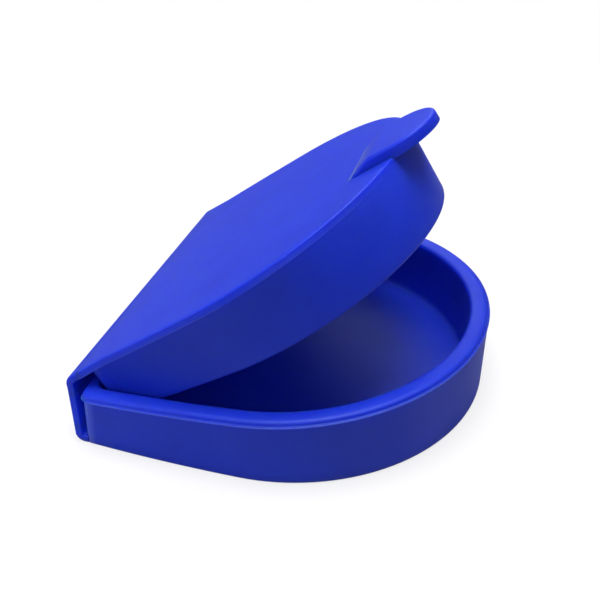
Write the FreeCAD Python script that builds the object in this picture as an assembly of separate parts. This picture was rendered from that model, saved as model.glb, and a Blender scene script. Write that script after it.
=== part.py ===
import FreeCAD, Part
import math
import os

from FreeCAD import Vector

# Horseshoe coin purse moulded in silicone rubber: a tray, a plug lid that nests inside the tray's
# wall, and a strap of the same rubber that joins them at the back and bends in two places.
# Millimetres, +Z up. The base rests on z = 0, the origin is the centre of the round front end,
# the pull tab points to -Y and the strap is at +Y. The lid stands half open.

# Tray
body_width = 86.0
body_length = 76.9
side_taper = 1.5
rear_corner_radius = 2.2
cavity_corner_radius = 3.0
wall = 4.1
back_wall = 1.9
floor_thickness = 1.6
base_edge_round = 0.5
rim_height_back = 11.4
rim_height_front = 16.8
rim_crown = 0.9
rim_inner_round = 0.7

# Strap: a lip of the floor behind the tray, the lower bend, the spine, the upper bend and the rear of
# the lid plate. It is nearly as wide as the tray at its foot and narrows to the lid's width.
strap_thickness = 1.6
strap_foot_inset = 0.4
strap_head_inset = 2.9
hinge_setback = 1.4
spine_length = 12.55
lower_bend_inside = 0.5
upper_bend_inside = 1.6
shoulder_reach = 9.0
shoulder_round = 15.0

# Lid
lid_clearance = 0.5
lid_edge_round = 0.5
skirt_thickness = 2.4
skirt_rear_clearance = 1.0
skirt_floor_clearance = 0.3
skirt_corner_radius = 3.0
skirt_inner_corner_radius = 0.8
skirt_edge_round = 0.7

# Pull tab
tab_width = 17.4
tab_straight = 10.0
tab_crease_setback = 11.2
tab_ramp_length = 5.3
tab_ramp_round = 3.0
tab_height = 2.2
tab_tip_height = 1.8
tab_lip = 0.5
tab_edge_round = 0.6
tab_rim_clearance = 0.25

# Pose that is modelled, in degrees: the spine's lean and the lid plate's slope
spine_tilt = 10.0
lid_pitch = 35.2

# How far cutting blocks reach past what they cut, and how near a point counts as on a face
overrun = 5.0
touch = 0.01

# Plan of the purse: a half circle in front, gently bowed sides and a straight back
front_radius = body_width / 2
back_y = body_length - front_radius
side_radius = (back_y ** 2 + side_taper ** 2) / (2 * side_taper)
side_centre_x = front_radius - side_radius
rim_slope = (rim_height_front - rim_height_back) / body_length
lid_inset = wall + lid_clearance
half_strap = strap_thickness / 2
opening_axis = Vector(-1, 0, 0)


def heading(angle):
    return Vector(0, math.cos(math.radians(angle)), math.sin(math.radians(angle)))


def bend_reach(inside, turn):
    return (inside + half_strap) * math.tan(math.radians(turn) / 2)


def side_x(inset, y):
    return side_centre_x + math.sqrt((side_radius - inset) ** 2 - y ** 2)


def rim_level(y):
    return rim_height_back + rim_crown + (back_y - y) * rim_slope


# The two bend axes lie on the strap's middle plane. In the closed purse the spine is upright.
spine_heading = 90 - spine_tilt
lid_heading = 180 - lid_pitch
lower_axis = Vector(0, back_y + hinge_setback, half_strap)
closed_axis = lower_axis + Vector(0, 0, spine_length)
upper_axis = lower_axis + heading(spine_heading) * spine_length
lower_reach = bend_reach(lower_bend_inside, spine_heading)
upper_reach = bend_reach(upper_bend_inside, lid_heading - spine_heading)
foot_half_width = side_x(strap_foot_inset, back_y)
head_half_width = side_x(strap_head_inset, back_y)

# The closed lid slopes up to the front just enough for the tab to clear the rim
lid_reach = closed_axis.y + front_radius - lid_inset
lid_rise = rim_level(-front_radius) + tab_rim_clearance + tab_lip - closed_axis.z
plate_lift = math.atan2(half_strap, lid_reach)
closed_pitch = math.degrees(math.asin(lid_rise / math.hypot(lid_reach, half_strap)) - plate_lift)
skirt_rear_y = back_y - back_wall - skirt_rear_clearance
skirt_bottom = floor_thickness + skirt_floor_clearance
clear_above = rim_level(-front_radius) + tab_height + overrun


# Every stretch of the plan is an arc on a fixed centre, so an inset outline is the same arcs, smaller
def plan_wire(inset, back, corner, z):
    side = side_radius - inset
    corner_y = back - corner
    corner_x = side_centre_x + math.sqrt((side - corner) ** 2 - corner_y ** 2)
    turn = math.atan2(corner_y, corner_x - side_centre_x)

    def on_side(angle):
        return Vector(side_centre_x + side * math.cos(angle), side * math.sin(angle), z)

    def on_corner(angle):
        return Vector(corner_x + corner * math.cos(angle), corner_y + corner * math.sin(angle), z)

    def mirrored(points):
        return [Vector(-point.x, point.y, z) for point in reversed(points)]

    right_side = [on_side(0), on_side(turn / 2), on_side(turn)]
    right_corner = [on_side(turn), on_corner((turn + math.pi / 2) / 2), on_corner(math.pi / 2)]
    left_corner = mirrored(right_corner)
    left_side = mirrored(right_side)
    nose = [left_side[-1], Vector(0, inset - front_radius, z), right_side[0]]
    lines = [Part.Arc(*points) for points in (right_side, right_corner, left_corner, left_side, nose)]
    lines.insert(2, Part.LineSegment(right_corner[-1], left_corner[0]))
    return Part.Wire([line.toShape() for line in lines])


def plan_prism(inset, back, corner, low, high):
    return Part.Face(plan_wire(inset, back, corner, low)).extrude(Vector(0, 0, high - low))


def depth_inside(point):
    if point.y < 0:
        return front_radius - math.hypot(point.x, point.y)
    from_side = side_radius - math.hypot(abs(point.x) - side_centre_x, point.y)
    return min(from_side, back_y - point.y)


# A solid across the purse, from a section drawn in the Y-Z plane
def across(edges, half_width):
    face = Part.Face(Part.Wire(edges))
    face.translate(Vector(-half_width, 0, 0))
    return face.extrude(Vector(2 * half_width, 0, 0))


def polygon(points):
    ends = points[1:] + points[:1]
    return [Part.LineSegment(start, end).toShape() for start, end in zip(points, ends)]


def block(y_low, y_high, z_low, z_high, half_width):
    corners = ((y_low, z_low), (y_high, z_low), (y_high, z_high), (y_low, z_high))
    return across(polygon([Vector(0, y, z) for y, z in corners]), half_width)


def middle(edge):
    return edge.valueAt((edge.FirstParameter + edge.LastParameter) / 2)


# Places on the lid: a distance in front of the upper bend and a height over the plate's middle plane.
# The lid is drawn flat, laid on the closed purse and then swung open with the spine.
def lid_point(reach, height):
    return Vector(0, closed_axis.y - reach, closed_axis.z + height)


def lay_closed(shape):
    shape.rotate(closed_axis, opening_axis, closed_pitch)
    return shape


def swing_open(shape):
    shape.rotate(closed_axis, opening_axis, lid_pitch - closed_pitch)
    shape.translate(upper_axis - closed_axis)
    return shape


def lid_slab(near, low, high):
    far = lid_reach + overrun
    corners = [lid_point(near, low), lid_point(far, low), lid_point(far, high), lid_point(near, high)]
    return lay_closed(across(polygon(corners), body_width))


# The floor is the base plate under the whole tray. Its lip behind the tray starts the strap.
def make_tray_floor():
    plate = plan_prism(0, back_y, rear_corner_radius, 0, floor_thickness)
    foot_edges = [edge for edge in plate.Edges if edge.BoundBox.ZMax < touch]
    plate = plate.makeFillet(base_edge_round, foot_edges)
    lip = block(back_y - back_wall, lower_axis.y - lower_reach, 0, strap_thickness, foot_half_width)
    return plate.fuse(lip).removeSplitter()


# The wall stands on the floor and is thin across the back. Its rim is low there, under the strap, and
# rises to the front.
def make_tray_wall():
    ring = plan_prism(0, back_y, rear_corner_radius, floor_thickness, clear_above)
    behind, ahead = back_y + overrun, -front_radius - overrun
    over_rim = [Vector(0, y, rim_level(y)) for y in (behind, ahead)]
    over_rim += [Vector(0, y, clear_above + overrun) for y in (ahead, behind)]
    ring = ring.cut(across(polygon(over_rim), body_width))

    def on_rim(edge):
        return abs(middle(edge).z - rim_level(middle(edge).y)) < touch

    ring = ring.makeFillet(rim_crown, [edge for edge in ring.Edges if on_rim(edge)])
    ring = ring.cut(plan_prism(wall, back_y - back_wall, cavity_corner_radius, 0, clear_above))
    inner_edges = [edge for edge in ring.Edges if on_rim(edge) and depth_inside(middle(edge)) > rim_crown + touch]
    return ring.makeFillet(rim_inner_round, inner_edges)


# A bend of the strap, from one heading to the next, round the place where its two flats would meet
def make_bend(corner, before, after, inside, half_width):
    reach = bend_reach(inside, after - before)
    centre = corner - heading(before) * reach + heading(before + 90) * (inside + half_strap)
    outside = inside + strap_thickness
    turns = [before - 90, (before + after) / 2 - 90, after - 90]
    inner = [centre + heading(turn) * inside for turn in turns]
    outer = [centre + heading(turn) * outside for turn in turns]
    lines = [Part.Arc(*inner), Part.LineSegment(inner[-1], outer[-1])]
    lines += [Part.Arc(*reversed(outer)), Part.LineSegment(outer[0], inner[0])]
    return across([line.toShape() for line in lines], half_width)


def make_spine():
    low, high = lower_axis.z + lower_reach, closed_axis.z - upper_reach
    inner_y = lower_axis.y - half_strap
    foot, head = Vector(foot_half_width, inner_y, low), Vector(head_half_width, inner_y, high)
    panel = polygon([foot, head, Vector(-head.x, inner_y, high), Vector(-foot.x, inner_y, low)])
    spine = Part.Face(Part.Wire(panel)).extrude(Vector(0, strap_thickness, 0))
    spine.rotate(lower_axis, opening_axis, spine_tilt)
    return spine


# The lid plate is the strap's last stretch. It crosses over the back of the rim and draws in at its
# shoulders to go down inside the wall.
def make_lid_plate():
    behind, shoulder_y = closed_axis.y + overrun, closed_axis.y - shoulder_reach
    shoulder_x = side_x(lid_inset, shoulder_y)
    rear_y = closed_axis.y - upper_reach
    widening = (head_half_width - shoulder_x) / (rear_y - shoulder_y)
    shoulders = [Vector(shoulder_x, shoulder_y, 0), Vector(head_half_width + widening * (behind - rear_y), behind, 0)]
    shoulders += [Vector(-point.x, point.y, 0) for point in reversed(shoulders)]
    plate = plan_prism(lid_inset, behind, rear_corner_radius, 0, clear_above)
    rear = Part.Face(Part.Wire(polygon(shoulders))).extrude(Vector(0, 0, clear_above))
    plate = plate.fuse(rear).removeSplitter()
    upright = [edge for edge in plate.Edges if edge.BoundBox.ZLength > strap_thickness]
    plate = plate.makeFillet(shoulder_round, [edge for edge in upright if abs(middle(edge).y - shoulder_y) < touch])
    plate = plate.common(lid_slab(upper_reach, -half_strap, half_strap))

    def on_top(edge):
        from_axis = middle(edge) - closed_axis
        height = from_axis.dot(heading(90 - closed_pitch))
        return abs(height - half_strap) < touch and -from_axis.y > upper_reach + touch

    return plate.makeFillet(lid_edge_round, [edge for edge in plate.Edges if on_top(edge)])


# The skirt hangs from the plate and stands upright inside the wall when the lid is closed
def make_lid_skirt():
    inner_inset = lid_inset + skirt_thickness
    inner_back = skirt_rear_y - skirt_thickness
    skirt = plan_prism(lid_inset, skirt_rear_y, skirt_corner_radius, skirt_bottom, clear_above)
    skirt = skirt.cut(plan_prism(inner_inset, inner_back, skirt_inner_corner_radius, 0, clear_above))
    skirt = skirt.common(lid_slab(upper_reach, -clear_above, -half_strap))
    low_edges = [edge for edge in skirt.Edges if edge.BoundBox.ZMax < skirt_bottom + touch]
    return skirt.makeFillet(skirt_edge_round, low_edges)


# The tab is a round-ended tongue that ramps up out of the plate and reaches out over the rim
def make_pull_tab(lid_plate):
    crease = lid_reach - tab_crease_setback
    ramp_end = crease + tab_ramp_length
    round_start = crease + tab_straight
    half_width = tab_width / 2
    tip = round_start + half_width
    far = tip + overrun
    far_share = (far - ramp_end) / (tip - ramp_end)
    far_height = tab_height + (tab_tip_height - tab_height) * far_share
    ridge = lid_point(ramp_end, half_strap + tab_height)
    underside = half_strap - tab_lip
    profile = [lid_point(crease, half_strap), ridge, lid_point(far, half_strap + far_height)]
    profile += [lid_point(far, underside), lid_point(ramp_end, underside), lid_point(crease, -half_strap)]
    tab = across(polygon(profile), tab_width)

    low = Vector(0, 0, -strap_thickness)
    right, left = Vector(half_width, 0, 0) + low, Vector(-half_width, 0, 0) + low
    root = lid_point(crease - overrun, 0)
    shoulder = lid_point(round_start, 0)
    outline = polygon([right + shoulder, right + root, left + root, left + shoulder])[:-1]
    nose = Part.Arc(left + shoulder, low + lid_point(tip, 0), right + shoulder)
    outline.append(nose.toShape())
    tab = tab.common(Part.Face(Part.Wire(outline)).extrude(Vector(0, 0, clear_above)))
    tab = tab.makeFillet(tab_ramp_round, [edge for edge in tab.Edges if (middle(edge) - ridge).Length < touch])

    def on_top_edge(edge):
        return middle(edge).z > shoulder.z + half_strap + touch and edge.BoundBox.YLength > touch

    tab = tab.makeFillet(tab_edge_round, [edge for edge in tab.Edges if on_top_edge(edge)])
    return lay_closed(tab).cut(lid_plate)


plate = make_lid_plate()
skirt = make_lid_skirt()
tab = make_pull_tab(plate)
nodes = {
    "tray_floor": make_tray_floor(),
    "tray_wall": make_tray_wall(),
    "lower_hinge_web": make_bend(lower_axis, 0, spine_heading, lower_bend_inside, foot_half_width),
    "spine": make_spine(),
    "upper_hinge_web": make_bend(upper_axis, spine_heading, lid_heading, upper_bend_inside, head_half_width),
    "lid_plate": swing_open(plate),
    "lid_skirt": swing_open(skirt),
    "pull_tab": swing_open(tab),
}

os.makedirs("parts", exist_ok=True)
for name, shape in nodes.items():
    solid = shape.Solids[0]
    solid.exportStep("parts/" + name + ".step")
    print(name, "solids", len(shape.Solids), "valid", solid.isValid(), "volume", round(solid.Volume))
print("lower bend axis", lower_axis, "upper bend axis", upper_axis, "closed pitch", closed_pitch)
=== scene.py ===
import bmesh
import bpy
import math
from mathutils import Matrix, Vector
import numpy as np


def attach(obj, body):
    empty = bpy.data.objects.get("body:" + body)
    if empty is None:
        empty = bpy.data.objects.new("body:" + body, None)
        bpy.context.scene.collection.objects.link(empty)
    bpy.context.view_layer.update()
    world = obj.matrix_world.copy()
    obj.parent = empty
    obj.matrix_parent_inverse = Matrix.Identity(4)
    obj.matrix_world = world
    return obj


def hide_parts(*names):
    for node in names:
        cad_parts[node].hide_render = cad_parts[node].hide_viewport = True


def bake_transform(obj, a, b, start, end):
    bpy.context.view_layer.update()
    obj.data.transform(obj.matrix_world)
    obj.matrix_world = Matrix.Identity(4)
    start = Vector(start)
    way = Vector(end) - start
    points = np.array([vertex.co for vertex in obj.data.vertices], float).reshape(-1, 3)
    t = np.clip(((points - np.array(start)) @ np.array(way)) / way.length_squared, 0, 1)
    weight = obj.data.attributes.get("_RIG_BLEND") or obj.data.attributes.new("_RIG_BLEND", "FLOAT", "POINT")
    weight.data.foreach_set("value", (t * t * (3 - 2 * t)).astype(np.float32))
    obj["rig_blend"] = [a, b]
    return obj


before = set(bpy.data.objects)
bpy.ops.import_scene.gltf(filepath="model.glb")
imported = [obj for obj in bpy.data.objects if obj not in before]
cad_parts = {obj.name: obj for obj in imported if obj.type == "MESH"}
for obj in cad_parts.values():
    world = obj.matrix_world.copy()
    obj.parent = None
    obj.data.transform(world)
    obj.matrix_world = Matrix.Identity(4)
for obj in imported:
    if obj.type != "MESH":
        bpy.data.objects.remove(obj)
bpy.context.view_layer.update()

# Everything is drawn in millimetres in the part's frame and scaled to metres when a piece is finished.
mm = 0.001

# the horseshoe plan and the two bend axes (y, z) that every piece shares
purse = dict(
    frontRadius=43.0, backY=33.9, sideTaper=1.5, wall=4.1, backWall=1.9,
    rimBack=11.4, rimFront=16.8,
    lowerAxis=(35.3, 0.8), spineLength=12.55, spineTilt=10.0,
    lidPitch=35.2, closedPitch=3.3459, lidInset=4.6,
    halfStrap=0.8, lowerInside=0.5, upperInside=1.6,
    footHalfWidth=41.4, headHalfWidth=38.59, shoulderReach=9.0,
    noseSteps=72, sideSteps=20, cornerSteps=8, backCuts=40,
    touch=0.01, merge=0.002, sharpAngle=42,
)
sideRadius = (purse["backY"] ** 2 + purse["sideTaper"] ** 2) / (2 * purse["sideTaper"])
sideCentre = purse["frontRadius"] - sideRadius
rimSlope = (purse["rimFront"] - purse["rimBack"]) / (purse["frontRadius"] + purse["backY"])


def heading(degrees):   # a direction in the Y-Z plane, 0 is +Y and 90 is up
    return Vector((0, math.cos(math.radians(degrees)), math.sin(math.radians(degrees))))


def bendReach(inside, turn):   # how far a bend runs along the strap from its corner
    return (inside + purse["halfStrap"]) * math.tan(math.radians(turn) / 2)


spineHeading = 90 - purse["spineTilt"]
lidHeading = 180 - purse["lidPitch"]
lowerAxis = Vector((0, *purse["lowerAxis"]))
closedAxis = lowerAxis + Vector((0, 0, purse["spineLength"]))
upperAxis = lowerAxis + heading(spineHeading) * purse["spineLength"]
lowerReach = bendReach(purse["lowerInside"], spineHeading)
upperReach = bendReach(purse["upperInside"], lidHeading - spineHeading)
layLid = (Matrix.Translation(closedAxis)
          @ Matrix.Rotation(-math.radians(purse["closedPitch"]), 4, "X")
          @ Matrix.Translation(-closedAxis))
openLid = (Matrix.Translation(upperAxis)
           @ Matrix.Rotation(math.radians(purse["closedPitch"] - purse["lidPitch"]), 4, "X")
           @ Matrix.Translation(-closedAxis))


def sideX(inset, y):
    return sideCentre + math.sqrt((sideRadius - inset) ** 2 - y ** 2)


def rimZ(y):   # height of the parting line, which climbs to the front
    return purse["rimBack"] + (purse["backY"] - y) * rimSlope


def lidZ(y, height):   # height of the closed lid's plate, measured square to its middle plane
    slope = math.radians(purse["closedPitch"])
    return closedAxis.z + (closedAxis.y - y) * math.tan(slope) + height / math.cos(slope)


def strapWidth(run):   # half width of the spine at a distance up from the lower bend
    share = (run - lowerReach) / (purse["spineLength"] - upperReach - lowerReach)
    return purse["footHalfWidth"] + (purse["headHalfWidth"] - purse["footHalfWidth"]) * share


def plateWidth(reach, inset=0.0):   # half width of the lid plate between the upper bend and its shoulders
    shoulderX = sideX(purse["lidInset"], closedAxis.y - purse["shoulderReach"])
    share = (reach - upperReach) / (purse["shoulderReach"] - upperReach)
    return purse["headHalfWidth"] + (shoulderX - purse["headHalfWidth"]) * share - inset


def lineTo(bm, start, end, steps):
    stride = (Vector(end) - start.co) / steps
    for step in range(steps):
        grown = bmesh.ops.extrude_vert_indiv(bm, verts=[start])["verts"][0]
        grown.co = start.co + stride
        start = grown
    return start


def arcTo(bm, start, centre, angle, steps):   # a vertex spun about an upright axis
    spun = bmesh.ops.spin(bm, geom=[start], cent=centre, axis=(0, 0, 1), angle=angle, steps=steps)
    return spun["geom_last"][0]


def noseEnds(bm, inset):   # the half circle in front, with its left and right ends
    nose = bm.verts.new((inset - purse["frontRadius"], 0, 0))
    return {-1: nose, 1: arcTo(bm, nose, (0, 0, 0), math.pi, purse["noseSteps"])}


def sideEnd(bm, start, hand, turn):   # the gently bowed side behind the half circle
    return arcTo(bm, start, (hand * sideCentre, 0, 0), hand * turn, purse["sideSteps"])


def closeBack(bm, ends, known):   # the straight back edge closes the loop, whose new edges come back
    backEdge = bm.edges.new((ends[1], ends[-1]))
    bmesh.ops.subdivide_edges(bm, edges=[backEdge], cuts=purse["backCuts"])
    return [edge for edge in bm.edges if edge not in known]


def loopVerts(loop):
    return {vert for edge in loop for vert in edge.verts}


# One closed outline: a vertex spun round the nose, both sides and both rear corners, then the back edge.
def horseshoe(bm, inset, back, corner, level, flatCorner=False):
    known = set(bm.edges)
    ends = noseEnds(bm, inset)
    cornerX = sideCentre + math.sqrt((sideRadius - inset - corner) ** 2 - (back - corner) ** 2)
    turn = math.atan2(back - corner, cornerX - sideCentre)
    for hand in (-1, 1):
        side = sideEnd(bm, ends[hand], hand, turn)
        if flatCorner:
            ends[hand] = lineTo(bm, side, (hand * cornerX, back, 0), purse["cornerSteps"])
        else:
            centre = (hand * cornerX, back - corner, 0)
            ends[hand] = arcTo(bm, side, centre, hand * (math.pi / 2 - turn), purse["cornerSteps"])
    loop = closeBack(bm, ends, known)
    for vert in loopVerts(loop):
        vert.co.z = level(vert.co.y)
    return loop


def markPaintedHighlight(bm, loop, weight, beyond=None):   # the material paints the marked verts paler, a painted highlight
    layer = bm.verts.layers.float["paintedHighlight"]
    for vert in loopVerts(loop):
        if beyond is None or beyond < vert.co.y < purse["backY"] - purse["touch"]:
            vert[layer] = weight


def skin(bm, loops):
    for low, high in zip(loops, loops[1:]):
        bmesh.ops.bridge_loops(bm, edges=low + high)
    bmesh.ops.edgeloop_fill(bm, edges=loops[0])
    bmesh.ops.edgeloop_fill(bm, edges=loops[-1])


def finishPiece(name, bm, material):
    bmesh.ops.remove_doubles(bm, verts=bm.verts, dist=purse["merge"])
    bmesh.ops.recalc_face_normals(bm, faces=bm.faces)
    for face in bm.faces:
        face.smooth = True
    for edge in bm.edges:
        edge.smooth = edge.is_manifold and edge.calc_face_angle(0) < math.radians(purse["sharpAngle"])
    bmesh.ops.scale(bm, vec=(mm, mm, mm), verts=bm.verts)
    mesh = bpy.data.meshes.new(name)
    bm.to_mesh(mesh)
    bm.free()
    piece = bpy.data.objects.new(name, mesh)
    bpy.context.scene.collection.objects.link(piece)
    mesh.materials.append(material)
    print(name, "faces", len(mesh.polygons))
    return piece


def srgb(code):
    parts = [int(code[i:i + 2], 16) / 255 for i in (1, 3, 5)]
    return [part / 12.92 if part <= 0.04045 else ((part + 0.055) / 1.055) ** 2.4 for part in parts] + [1]


def addNode(tree, kind, sockets=None, **settings):
    node = tree.nodes.new(kind)
    for key, value in settings.items():
        setattr(node, key, value)
    for key, value in (sockets or {}).items():
        if isinstance(value, bpy.types.NodeSocket):
            tree.links.new(value, node.inputs[key])
        else:
            node.inputs[key].default_value = value
    return node


def emptyMaterial(name):
    material = bpy.data.materials.new(name)
    material.use_nodes = True
    material.node_tree.nodes.clear()
    return material


# Silicone rubber: one saturated colour all through, a matte skin that still mirrors bright surroundings
# faintly, a dusty haze at a slant, a little light through thin edges and a paler painted highlight where
# pieces mark it.
silicone = dict(
    colour="#1230cc", deep="#112dc6", pale="#1433d0", paintedHighlight="#6478e0", dust="#8fa0e6", shine="#d8f4ff",
    mottleMm=11.0, mottleDetail=3.0, mottleSpread=0.2,
    grainMm=0.55, grainDetail=4.0, grainRoughness=0.65, bumpMm=0.035, bumpStrength=0.6,
    roughness=0.48, smoother=0.05, rougher=0.06, ior=1.44,
    glow=0.8, glowMm=(0.15, 0.6, 4.6), haze=0.01, hazeRoughness=0.45,
)


def makeSilicone(spec):
    material = emptyMaterial("moulded silicone rubber")
    tree = material.node_tree
    place = addNode(tree, "ShaderNodeTexCoord").outputs["Object"]
    mottle = addNode(tree, "ShaderNodeTexNoise", {
        "Vector": place, "Scale": 1 / (spec["mottleMm"] * mm), "Detail": spec["mottleDetail"]})
    tone = addNode(tree, "ShaderNodeValToRGB", {"Fac": mottle.outputs["Fac"]})
    deep, pale = tone.color_ramp.elements
    deep.position = 0.5 - spec["mottleSpread"]
    deep.color = srgb(spec["deep"])
    pale.position = 0.5 + spec["mottleSpread"]
    pale.color = srgb(spec["pale"])
    tone.color_ramp.elements.new(0.5).color = srgb(spec["colour"])
    grain = addNode(tree, "ShaderNodeTexNoise", {
        "Vector": place, "Scale": 1 / (spec["grainMm"] * mm), "Detail": spec["grainDetail"],
        "Roughness": spec["grainRoughness"]})
    bump = addNode(tree, "ShaderNodeBump", {
        "Height": grain.outputs["Fac"], "Strength": spec["bumpStrength"], "Distance": spec["bumpMm"] * mm})
    rough = addNode(tree, "ShaderNodeMapRange", {
        "Value": grain.outputs["Fac"], "To Min": spec["roughness"] - spec["smoother"],
        "To Max": spec["roughness"] + spec["rougher"]})
    # painted highlight: marked verts get a paler colour that stands in for light caught by the parting beads,
    # the tray's rear corner flats and the tab's crease; 6, 7 and output 2 are the mix's colour sockets
    paintedHighlight = addNode(tree, "ShaderNodeAttribute", attribute_name="paintedHighlight")
    toneWithPaintedHighlight = addNode(tree, "ShaderNodeMix", {
        "Factor": paintedHighlight.outputs["Fac"], 6: tone.outputs["Color"], 7: srgb(spec["paintedHighlight"])}, data_type="RGBA")
    shader = addNode(tree, "ShaderNodeBsdfPrincipled", {
        "Base Color": toneWithPaintedHighlight.outputs[2], "Roughness": rough.outputs["Result"],
        "Normal": bump.outputs["Normal"], "IOR": spec["ior"], "Specular Tint": srgb(spec["shine"]),
        "Subsurface Weight": spec["glow"], "Subsurface Radius": spec["glowMm"], "Subsurface Scale": mm,
        "Sheen Weight": spec["haze"], "Sheen Roughness": spec["hazeRoughness"],
        "Sheen Tint": srgb(spec["dust"])})
    addNode(tree, "ShaderNodeOutputMaterial", {"Surface": shader.outputs["BSDF"]})
    return material


rubber = makeSilicone(silicone)
print("silicone ready")

# Tray: one skin from the underside up the wall, over the parting line and the rim and down to the floor.
# Each row is (inset from the wall's outside, height), heights of the rim counted from the parting line.
tray = dict(
    footCorner=0.9, rearCorner=2.2, cavityCorner=3.0, flatIn=0.1,
    cornerPaintedHighlight=0.5, linePaintedHighlight=0.5, lineOut=0.12,
    foot=[(1.4, 0.02), (0.5, 0.0), (0.31, 0.04), (0.15, 0.15), (0.04, 0.31), (0.0, 0.5), (0.0, 2.0),
          (0.0, 4.0)],
    rim=[(0.0, -0.8), (0.0, -0.36), (-0.1, -0.28), (-0.17, -0.2), (-0.2, -0.1), (-0.17, -0.02),
         (-0.08, 0.02), (0.12, 0.05), (0.27, 0.09), (0.33, 0.16), (0.35, 0.3), (0.4, 0.46), (0.52, 0.62),
         (0.74, 0.77), (1.08, 0.88), (1.5, 0.93), (2.1, 0.95), (2.8, 0.94), (3.3, 0.89), (3.65, 0.78),
         (3.92, 0.58), (4.06, 0.3), (4.1, 0.0), (4.1, -0.6)],
    inside=[(4.1, 4.0), (4.1, 2.6), (4.17, 2.22), (4.39, 1.89), (4.72, 1.67), (5.1, 1.6), (6.2, 1.58)],
)


# The wall's rear corners are flats that widen from the foot to the parting line, the rim's are round; the
# flats carry a painted highlight.
def makeTray(spec):
    bm = bmesh.new()
    bm.verts.layers.float.new("paintedHighlight")
    loops = []
    back, wall = purse["backY"], purse["wall"]
    thin = purse["backWall"] / wall   # the back wall's rows sit closer together
    for inset, z in spec["foot"]:
        share = z / purse["rimBack"]
        corner = spec["footCorner"] + (spec["rearCorner"] - spec["footCorner"]) * share
        loops.append(horseshoe(bm, inset, back - inset, corner, lambda y, z=z: z, flatCorner=True))
        # painted highlight on the rear corner flats
        markPaintedHighlight(bm, loops[-1], spec["cornerPaintedHighlight"], back - corner)
    for inset, z in spec["rim"]:
        corner = spec["rearCorner"] + (spec["cavityCorner"] - spec["rearCorner"]) * max(inset, 0) / wall
        flat = z < 0 and inset < spec["flatIn"]
        loops.append(horseshoe(bm, inset, back - inset * thin, corner, lambda y, z=z: rimZ(y) + z, flat))
        # painted highlight along the parting bead that stands out of the wall, and on the corner flats below
        # it
        if inset < -spec["lineOut"]:
            markPaintedHighlight(bm, loops[-1], spec["linePaintedHighlight"])
        elif flat:
            markPaintedHighlight(bm, loops[-1], spec["cornerPaintedHighlight"], back - corner)
    for inset, z in spec["inside"]:
        innerBack = back - purse["backWall"] - (inset - wall)
        loops.append(horseshoe(bm, inset, innerBack, spec["cavityCorner"], lambda y, z=z: z))
    skin(bm, loops)
    return finishPiece("tray", bm, rubber)


trayPiece = makeTray(tray)
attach(trayPiece, "tray")
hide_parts("tray_floor", "tray_wall")

# Strap: a flat section with softened long edges, run along the lip, round a bend and up the spine.
strap = dict(outerRound=0.35, outerSteps=4, innerRound=0.2, innerSteps=3,
             extra=1.5, bendSteps=18, runSteps=4, sunk=0.5)
lidRear = upperReach + strap["extra"]   # where the upper web hands over to the lid


def strapSection(bm, spec, start, direction, halfWidth):
    verts = bmesh.ops.create_grid(bm, x_segments=1, y_segments=1, size=1)["verts"]
    bmesh.ops.scale(bm, vec=(halfWidth, purse["halfStrap"], 1), verts=verts)
    outer = [vert for vert in verts if vert.co.y < 0]
    inner = [vert for vert in verts if vert.co.y > 0]
    bmesh.ops.bevel(bm, geom=outer, offset=spec["outerRound"], segments=spec["outerSteps"], profile=0.5,
                    affect="VERTICES", material=-1)
    bmesh.ops.bevel(bm, geom=inner, offset=spec["innerRound"], segments=spec["innerSteps"], profile=0.5,
                    affect="VERTICES", material=-1)
    # the grid lies in X-Y with its outer side at -Y: stand it up square to the direction of travel
    turn = math.atan2(direction.z, direction.y)
    bmesh.ops.rotate(bm, cent=(0, 0, 0), matrix=Matrix.Rotation(math.pi / 2 + turn, 3, "X"), verts=bm.verts)
    bmesh.ops.translate(bm, vec=start, verts=bm.verts)
    return bm.faces[:]


def pick(geom, kind):
    return [item for item in geom if isinstance(item, kind)]


def dropInner(bm, faces):   # a section left inside the strap has side faces before and after it
    inner = [face for face in faces if any(len(edge.link_faces) > 2 for edge in face.edges)]
    bmesh.ops.delete(bm, geom=inner, context="FACES_ONLY")


def runOn(bm, faces, vector, steps, growth=1.0):
    for step in range(steps):
        made = bmesh.ops.extrude_face_region(bm, geom=faces)["geom"]
        dropInner(bm, faces)
        faces = pick(made, bmesh.types.BMFace)
        verts = pick(made, bmesh.types.BMVert)
        bmesh.ops.translate(bm, vec=vector / steps, verts=verts)
        bmesh.ops.scale(bm, vec=(growth ** (1 / steps), 1, 1), verts=verts)
    return faces


def bendOn(bm, faces, corner, before, after, inside, steps):
    radius = inside + purse["halfStrap"]
    centre = corner - heading(before) * bendReach(inside, after - before) + heading(before + 90) * radius
    made = bmesh.ops.spin(bm, geom=faces, cent=centre, axis=(1, 0, 0), angle=math.radians(after - before),
                          steps=steps)
    dropInner(bm, faces)
    return pick(made["geom_last"], bmesh.types.BMFace)


def makeLowerWeb(spec):
    bm = bmesh.new()
    start = Vector((0, purse["backY"] - spec["sunk"], lowerAxis.z))
    faces = strapSection(bm, spec, start, heading(0), purse["footHalfWidth"])
    faces = runOn(bm, faces, heading(0) * (lowerAxis.y - lowerReach - start.y), spec["runSteps"] * 2)
    faces = bendOn(bm, faces, lowerAxis, 0, spineHeading, purse["lowerInside"], spec["bendSteps"])
    runOn(bm, faces, heading(spineHeading) * spec["extra"], spec["runSteps"],
          strapWidth(lowerReach + spec["extra"]) / purse["footHalfWidth"])
    return finishPiece("lower_web", bm, rubber)


def makeSpine(spec):
    bm = bmesh.new()
    up = heading(spineHeading)
    low = lowerReach + spec["extra"]
    high = purse["spineLength"] - upperReach - spec["extra"]
    faces = strapSection(bm, spec, lowerAxis + up * low, up, strapWidth(low))
    runOn(bm, faces, up * (high - low), spec["runSteps"], strapWidth(high) / strapWidth(low))
    return finishPiece("spine_panel", bm, rubber)


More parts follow.
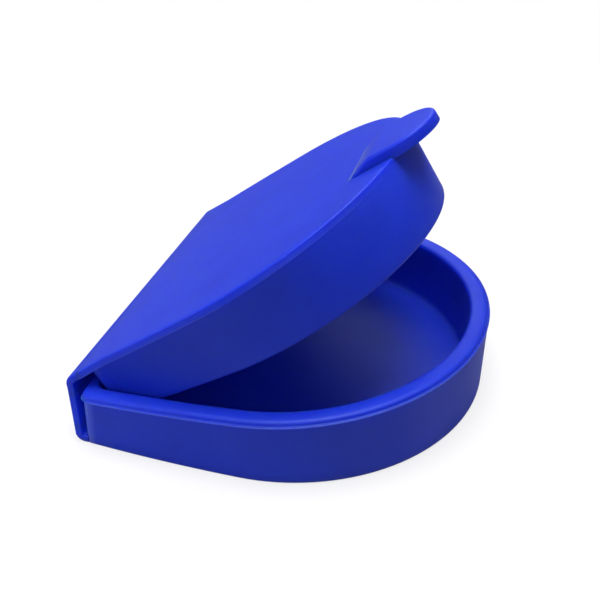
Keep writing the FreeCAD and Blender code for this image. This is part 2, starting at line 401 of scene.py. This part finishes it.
def makeUpperWeb(spec):
    bm = bmesh.new()
    up = heading(spineHeading)
    run = purse["spineLength"] - upperReach - spec["extra"]
    head = purse["headHalfWidth"]
    faces = strapSection(bm, spec, lowerAxis + up * run, up, strapWidth(run))
    faces = runOn(bm, faces, up * spec["extra"], spec["runSteps"], head / strapWidth(run))
    faces = bendOn(bm, faces, upperAxis, spineHeading, lidHeading, purse["upperInside"], spec["bendSteps"])
    runOn(bm, faces, heading(lidHeading) * spec["extra"], spec["runSteps"], plateWidth(lidRear) / head)
    return finishPiece("upper_web", bm, rubber)


lowerWeb = makeLowerWeb(strap)
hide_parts("lower_hinge_web")
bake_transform(lowerWeb, "tray", "strap", start=(lowerAxis - heading(0) * (lowerReach + 1)) * mm,
         end=(lowerAxis + heading(spineHeading) * (lowerReach + 1)) * mm)
spinePanel = makeSpine(strap)
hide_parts("spine")
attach(spinePanel, "strap")
upperWeb = makeUpperWeb(strap)
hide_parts("upper_hinge_web")
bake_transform(upperWeb, "strap", "lid", start=(upperAxis - heading(spineHeading) * (upperReach + 1)) * mm,
         end=(upperAxis + heading(lidHeading) * (upperReach + 1)) * mm)

# Lid: one skin from the top of the plate over its edge and parting line, down the skirt and up its inside.
# Plate rows are (inset, height over the middle plane, inset of the rear end), skirt rows (inset, rise).
lid = dict(
    plate=[(1.6, 0.82, 1.25), (0.35, 0.8, 0), (0.21, 0.77, 0), (0.1, 0.7, 0), (0.03, 0.58, 0), (0.0, 0.45, 0),
           (0.0, -0.52, 0), (-0.05, -0.6, 0), (-0.07, -0.68, 0), (-0.05, -0.75, 0), (0.0, -0.8, 0)],
    sideShort=0.5, paintedHighlight=0.2, paintedHighlightFrom=-6.0,
    skirtBack=31.0, skirtThickness=2.4, skirtCorner=3.0, skirtInnerCorner=0.8,
    skirtBottom=1.9, skirtInnerLift=0.02, skirtStep=0.03, skirtDrop=0.06,
    skirtRound=[(0.7, 0.0), (0.43, 0.05), (0.2, 0.2), (0.05, 0.43), (0.0, 0.7)],
)


def plateLoop(bm, spec, inset, height, rear):   # nose, sides, tapered shoulders and the straight rear end
    known = set(bm.edges)
    edge = purse["lidInset"] + inset
    ends = noseEnds(bm, edge)
    turn = math.asin((closedAxis.y - purse["shoulderReach"] - spec["sideShort"]) / (sideRadius - edge))
    for hand in (-1, 1):
        side = sideEnd(bm, ends[hand], hand, turn)
        corner = (hand * plateWidth(lidRear, inset), closedAxis.y - lidRear - rear, 0)
        ends[hand] = lineTo(bm, side, corner, purse["cornerSteps"])
    loop = closeBack(bm, ends, known)
    verts = list(loopVerts(loop))
    bmesh.ops.translate(bm, vec=(0, 0, closedAxis.z + height), verts=verts)
    bmesh.ops.transform(bm, matrix=layLid, verts=verts)
    return loop


def makeLid(spec):
    bm = bmesh.new()
    bm.verts.layers.float.new("paintedHighlight")
    edge, under = purse["lidInset"], -purse["halfStrap"]
    outer, inner = edge + spec["skirtStep"], edge + spec["skirtThickness"]
    back, innerBack = spec["skirtBack"], spec["skirtBack"] - spec["skirtThickness"]
    corner, innerCorner = spec["skirtCorner"], spec["skirtInnerCorner"]
    loops = [plateLoop(bm, spec, *row) for row in spec["plate"]]
    # painted highlight on the plate's parting bead, behind a line just in front of the middle
    for loop, row in zip(loops, spec["plate"]):
        if row[0] < 0:
            markPaintedHighlight(bm, loop, spec["paintedHighlight"], spec["paintedHighlightFrom"])
    loops.append(horseshoe(bm, outer, back, corner, lambda y: lidZ(y, under - spec["skirtDrop"])))
    for inset, rise in reversed(spec["skirtRound"]):
        z = spec["skirtBottom"] + rise
        loops.append(horseshoe(bm, outer + inset, back - inset, corner - inset, lambda y, z=z: z))
    for inset, rise in spec["skirtRound"]:
        z = spec["skirtBottom"] + rise + spec["skirtInnerLift"]
        loops.append(horseshoe(bm, inner - inset, innerBack + inset, innerCorner + inset, lambda y, z=z: z))
    loops.append(horseshoe(bm, inner, innerBack, innerCorner, lambda y: lidZ(y, under)))
    skin(bm, loops)
    bmesh.ops.transform(bm, matrix=openLid, verts=bm.verts)
    return finishPiece("lid", bm, rubber)


lidPiece = makeLid(lid)
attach(lidPiece, "lid")
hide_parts("lid_plate", "lid_skirt")

# Pull tab: a grid pulled into a round-ended tongue, lifted along its ramp and let down round its edge, with a
# painted highlight streak by the crease.
tab = dict(
    width=17.4, straight=10.0, crease=62.5, rampLength=5.3, height=2.2, tipHeight=1.8, lip=0.5, rootRun=1.2,
    sunk=0.06, creaseRound=0.5, ridgeRound=0.7, edgeRound=0.6, edgeShare=0.6, leastRound=0.01,
    paintedStreakAt=0.5, paintedStreakWidth=0.75, across=48, along=44, noseRows=24,
)


def softCorner(x, radius):   # nought before x = 0 and x after it, with a smooth corner between
    return (x + math.sqrt(x * x + radius * radius)) / 2


def rampHeight(spec, run):   # height over the plate at a distance in front of the crease
    slope = spec["height"] / spec["rampLength"]
    level = spec["straight"] + spec["width"] / 2 - spec["rampLength"]
    fall = (spec["tipHeight"] - spec["height"]) / level
    ramp = slope * softCorner(run, spec["creaseRound"])
    return ramp - (slope - fall) * softCorner(run - spec["rampLength"], spec["ridgeRound"]) - spec["sunk"]


def makeTab(spec):
    bm = bmesh.new()
    paintedStreak = bm.verts.layers.float.new("paintedHighlight")
    half = spec["width"] / 2
    rows = spec["along"] + spec["noseRows"]
    bmesh.ops.create_grid(bm, x_segments=spec["across"], y_segments=rows, size=1)
    for vert in bm.verts:   # rows and columns crowd towards the outline
        u = math.sin(vert.co.x * math.pi / 2)
        row = (vert.co.y + 1) / 2 * rows
        if row <= spec["along"]:
            x = u * half
            run = row / spec["along"] * (spec["straight"] + spec["rootRun"]) - spec["rootRun"]
        else:
            v = math.sin((row - spec["along"]) / spec["noseRows"] * math.pi / 2)
            x = u * half * math.sqrt(1 - v * v / 2)
            run = spec["straight"] + v * half * math.sqrt(1 - u * u / 2)
        vert.co = (x, closedAxis.y - spec["crease"] - run, 0)
    made = bmesh.ops.extrude_face_region(bm, geom=bm.faces[:], use_keep_orig=True)
    lifted = set(pick(made["geom"], bmesh.types.BMVert))
    for vert in bm.verts:
        run = closedAxis.y - vert.co.y - spec["crease"]
        height = purse["halfStrap"] - spec["lip"]
        if vert in lifted:
            # painted highlight: a pale streak across the ramp just in front of the crease, on the top skin
            # only
            vert[paintedStreak] = max(1 - abs(run - spec["paintedStreakAt"]) / spec["paintedStreakWidth"], 0)
            lift = rampHeight(spec, run)
            depth = half - math.hypot(vert.co.x, max(run - spec["straight"], 0))
            rounding = max(min(spec["edgeRound"], lift * spec["edgeShare"]), spec["leastRound"])
            past = max(rounding - depth, 0)
            height = purse["halfStrap"] + lift - rounding + math.sqrt(max(rounding ** 2 - past ** 2, 0))
        vert.co.z = closedAxis.z + height
    bmesh.ops.transform(bm, matrix=openLid @ layLid, verts=bm.verts)
    return finishPiece("tab", bm, rubber)


tabPiece = makeTab(tab)
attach(tabPiece, "lid")
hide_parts("pull_tab")
print("pieces ready")

# Stage in metres: a white floor and soft light, most of it from above.
stage = dict(
    white="#ffffff", floorSize=1.6, floorColour="#f4f4f6", floorGlow=0.7, glowNear=0.12, glowFar=0.4,
    sheetColour="#a4a4a8", sheetNear=0.035, sheetFar=0.06, tableSide=(-0.86, -0.5, 0), tableColour="#64646c",
    skyLow=0.06, skyHigh=0.34, skyTop=0.5,
    aim=(0, 0, 0.02),
    lamps=[   # name, place, size, watts
        ("overhead", (0, 0, 0.75), 0.5, 5.0),
        ("side", (-0.65, -0.1, 0.4), 0.5, 0.8),
        ("left", (-0.38, 0.6, 0.2), 0.4, 1.0),
        ("far", (0.6, 0.17, 0.42), 0.5, 0.8),
    ],
)

# Camera at the photograph's angle, its target and distance in millimetres like the pieces.
view = dict(azimuth=-74.15, elevation=33.41, roll=-0.59, distance=184.3, target=(0, -1.2, 12.6),
            lens=47.9, sensor=36, shiftX=-0.0039, shiftY=0.0158, clipStart=0.01)


# White paper to the camera. Mirrored rays find white in front of the purse, and what light the floor throws
# back on it comes from a duller sheet under and behind it and a darker table in front.
def makeSweep(spec):
    material = emptyMaterial("white sweep")
    tree = material.node_tree
    place = addNode(tree, "ShaderNodeTexCoord").outputs["Object"]
    path = addNode(tree, "ShaderNodeLightPath").outputs
    glow = addNode(tree, "ShaderNodeEmission", {"Color": srgb(spec["white"]), "Strength": 1.0})
    paper, sheet, table = (addNode(tree, "ShaderNodeBsdfDiffuse", {"Color": srgb(spec[key])})
                           for key in ("floorColour", "sheetColour", "tableColour"))
    out = addNode(tree, "ShaderNodeVectorMath", {0: place}, operation="LENGTH").outputs["Value"]
    bright = addNode(tree, "ShaderNodeMapRange", {
        "Value": out, "From Min": spec["glowNear"], "From Max": spec["glowFar"],
        "To Min": spec["floorGlow"], "To Max": 1.0})
    across = addNode(tree, "ShaderNodeVectorMath", {0: place, 1: spec["tableSide"]}, operation="DOT_PRODUCT")
    away = addNode(tree, "ShaderNodeMapRange", {
        "Value": across.outputs["Value"], "From Min": spec["sheetNear"], "From Max": spec["sheetFar"]})

    def mix(share, low, high):
        return addNode(tree, "ShaderNodeMixShader", {0: share, 1: low.outputs[0], 2: high.outputs[0]})

    seen = mix(bright.outputs["Result"], paper, glow)
    front = mix(path["Is Glossy Ray"], table, glow)
    felt = mix(away.outputs["Result"], sheet, front)
    both = mix(path["Is Camera Ray"], felt, seen)
    addNode(tree, "ShaderNodeOutputMaterial", {"Surface": both.outputs[0]})
    return material


def makeFloor(spec):
    bm = bmesh.new()
    bmesh.ops.create_grid(bm, x_segments=1, y_segments=1, size=spec["floorSize"])
    mesh = bpy.data.meshes.new("floor")
    bm.to_mesh(mesh)
    bm.free()
    floor = bpy.data.objects.new("floor", mesh)
    bpy.context.scene.collection.objects.link(floor)
    mesh.materials.append(makeSweep(spec))


def makeWorld(spec):   # white to the camera, to all else a dome that brightens upwards
    world = bpy.data.worlds.new("studio")
    bpy.context.scene.world = world
    world.use_nodes = True
    tree = world.node_tree
    tree.nodes.clear()
    path = addNode(tree, "ShaderNodeLightPath")
    place = addNode(tree, "ShaderNodeTexCoord").outputs["Generated"]
    rise = addNode(tree, "ShaderNodeSeparateXYZ", {"Vector": place}).outputs["Z"]
    dome = addNode(tree, "ShaderNodeMapRange", {
        "Value": rise, "From Max": spec["skyTop"], "To Min": spec["skyLow"], "To Max": spec["skyHigh"]})
    strength = addNode(tree, "ShaderNodeMapRange", {
        "Value": path.outputs["Is Camera Ray"], "To Min": dome.outputs["Result"], "To Max": 1.0})
    sky = addNode(tree, "ShaderNodeBackground", {
        "Color": srgb(spec["white"]), "Strength": strength.outputs["Result"]})
    addNode(tree, "ShaderNodeOutputWorld", {"Surface": sky.outputs["Background"]})


def addLamp(name, place, aim, size, watts):
    data = bpy.data.lights.new(name, "AREA")
    data.shape = "DISK"
    data.size = size
    data.energy = watts
    lamp = bpy.data.objects.new(name, data)
    lamp.location = place
    lamp.rotation_euler = (Vector(aim) - Vector(place)).to_track_quat("-Z", "Y").to_euler()
    bpy.context.scene.collection.objects.link(lamp)


def makeCamera(spec):
    azimuth, elevation, roll = (math.radians(spec[key]) for key in ("azimuth", "elevation", "roll"))
    back = Vector((math.sin(azimuth) * math.cos(elevation), -math.cos(azimuth) * math.cos(elevation),
                   math.sin(elevation)))
    right = Vector((math.cos(azimuth), math.sin(azimuth), 0))
    up = back.cross(right)
    turned = Matrix((right * math.cos(roll) + up * math.sin(roll),
                     up * math.cos(roll) - right * math.sin(roll), back))
    data = bpy.data.cameras.new("camera")
    data.lens = spec["lens"]
    data.sensor_width = spec["sensor"]
    data.shift_x = spec["shiftX"]
    data.shift_y = spec["shiftY"]
    data.clip_start = spec["clipStart"]
    camera = bpy.data.objects.new("camera", data)
    place = (Vector(spec["target"]) + back * spec["distance"]) * mm
    camera.matrix_world = Matrix.Translation(place) @ turned.transposed().to_4x4()
    bpy.context.scene.collection.objects.link(camera)
    bpy.context.scene.camera = camera


makeFloor(stage)
makeWorld(stage)
makeCamera(view)
for name, place, size, watts in stage["lamps"]:
    addLamp(name, place, stage["aim"], size, watts)
bpy.context.scene.view_settings.view_transform = "Standard"
print("stage ready")
